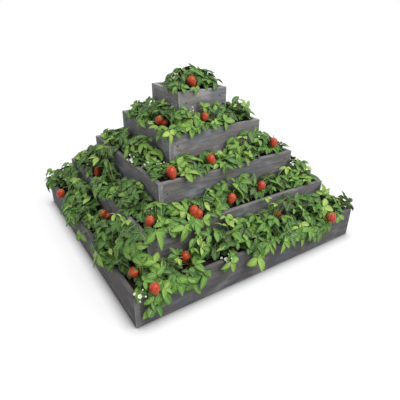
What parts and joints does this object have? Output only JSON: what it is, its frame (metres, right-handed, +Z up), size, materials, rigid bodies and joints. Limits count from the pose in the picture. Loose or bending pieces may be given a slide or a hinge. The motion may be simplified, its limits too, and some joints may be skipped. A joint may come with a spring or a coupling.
{
  "type": "strawberry pyramid planter",
  "caption": "Square stepped planter of stacked grey board frames filled with compost, with strawberry plants, fruit and flowers growing on every step.",
  "frame": {"origin": "centre of the planter's base, on the ground", "axes": "+Z up; -Y is the front face, +X the right face; the four sides are alike by quarter turns about Z"},
  "size_m": [1.2872, 1.2948, 0.8322],
  "materials": {
    "grey_board": "weathered grey, brushed grain",
    "bare_wood": "sawn",
    "dark_screw": "dark coated",
    "compost": "loose and damp",
    "foliage": "satin leaf",
    "ripe_fruit": "glossy skin",
    "petal": "matt"
  },
  "bodies": {
    "root": {"tier_1_front_board": "grey_board", "tier_1_right_board": "grey_board", "tier_1_back_board": "grey_board", "tier_1_left_board": "grey_board", "tier_1_corner_posts": "bare_wood", "tier_1_screws": "dark_screw", "tier_1_compost": "compost", "tier_1_plants": "foliage", "tier_1_fruit": "ripe_fruit", "tier_1_flowers": "petal", "tier_2_front_board": "grey_board", "tier_2_right_board": "grey_board", "tier_2_back_board": "grey_board", "tier_2_left_board": "grey_board", "tier_2_corner_posts": "bare_wood", "tier_2_screws": "dark_screw", "tier_2_compost": "compost", "tier_2_plants": "foliage", "tier_2_fruit": "ripe_fruit", "tier_2_flowers": "petal", "tier_3_front_board": "grey_board", "tier_3_right_board": "grey_board", "tier_3_back_board": "grey_board", "tier_3_left_board": "grey_board", "tier_3_corner_posts": "bare_wood", "tier_3_screws": "dark_screw", "tier_3_compost": "compost", "tier_3_plants": "foliage", "tier_3_fruit": "ripe_fruit", "tier_3_flowers": "petal", "tier_4_front_board": "grey_board", "tier_4_right_board": "grey_board", "tier_4_back_board": "grey_board", "tier_4_left_board": "grey_board", "tier_4_corner_posts": "bare_wood", "tier_4_screws": "dark_screw", "tier_4_compost": "compost", "tier_4_plants": "foliage", "tier_4_fruit": "ripe_fruit", "tier_4_flowers": "petal", "tier_5_front_board": "grey_board", "tier_5_right_board": "grey_board", "tier_5_back_board": "grey_board", "tier_5_left_board": "grey_board", "tier_5_corner_posts": "bare_wood", "tier_5_screws": "dark_screw", "tier_5_compost": "compost", "tier_5_plants": "foliage", "tier_5_fruit": "ripe_fruit", "tier_5_flowers": "petal"}
  },
  "joints": []
}
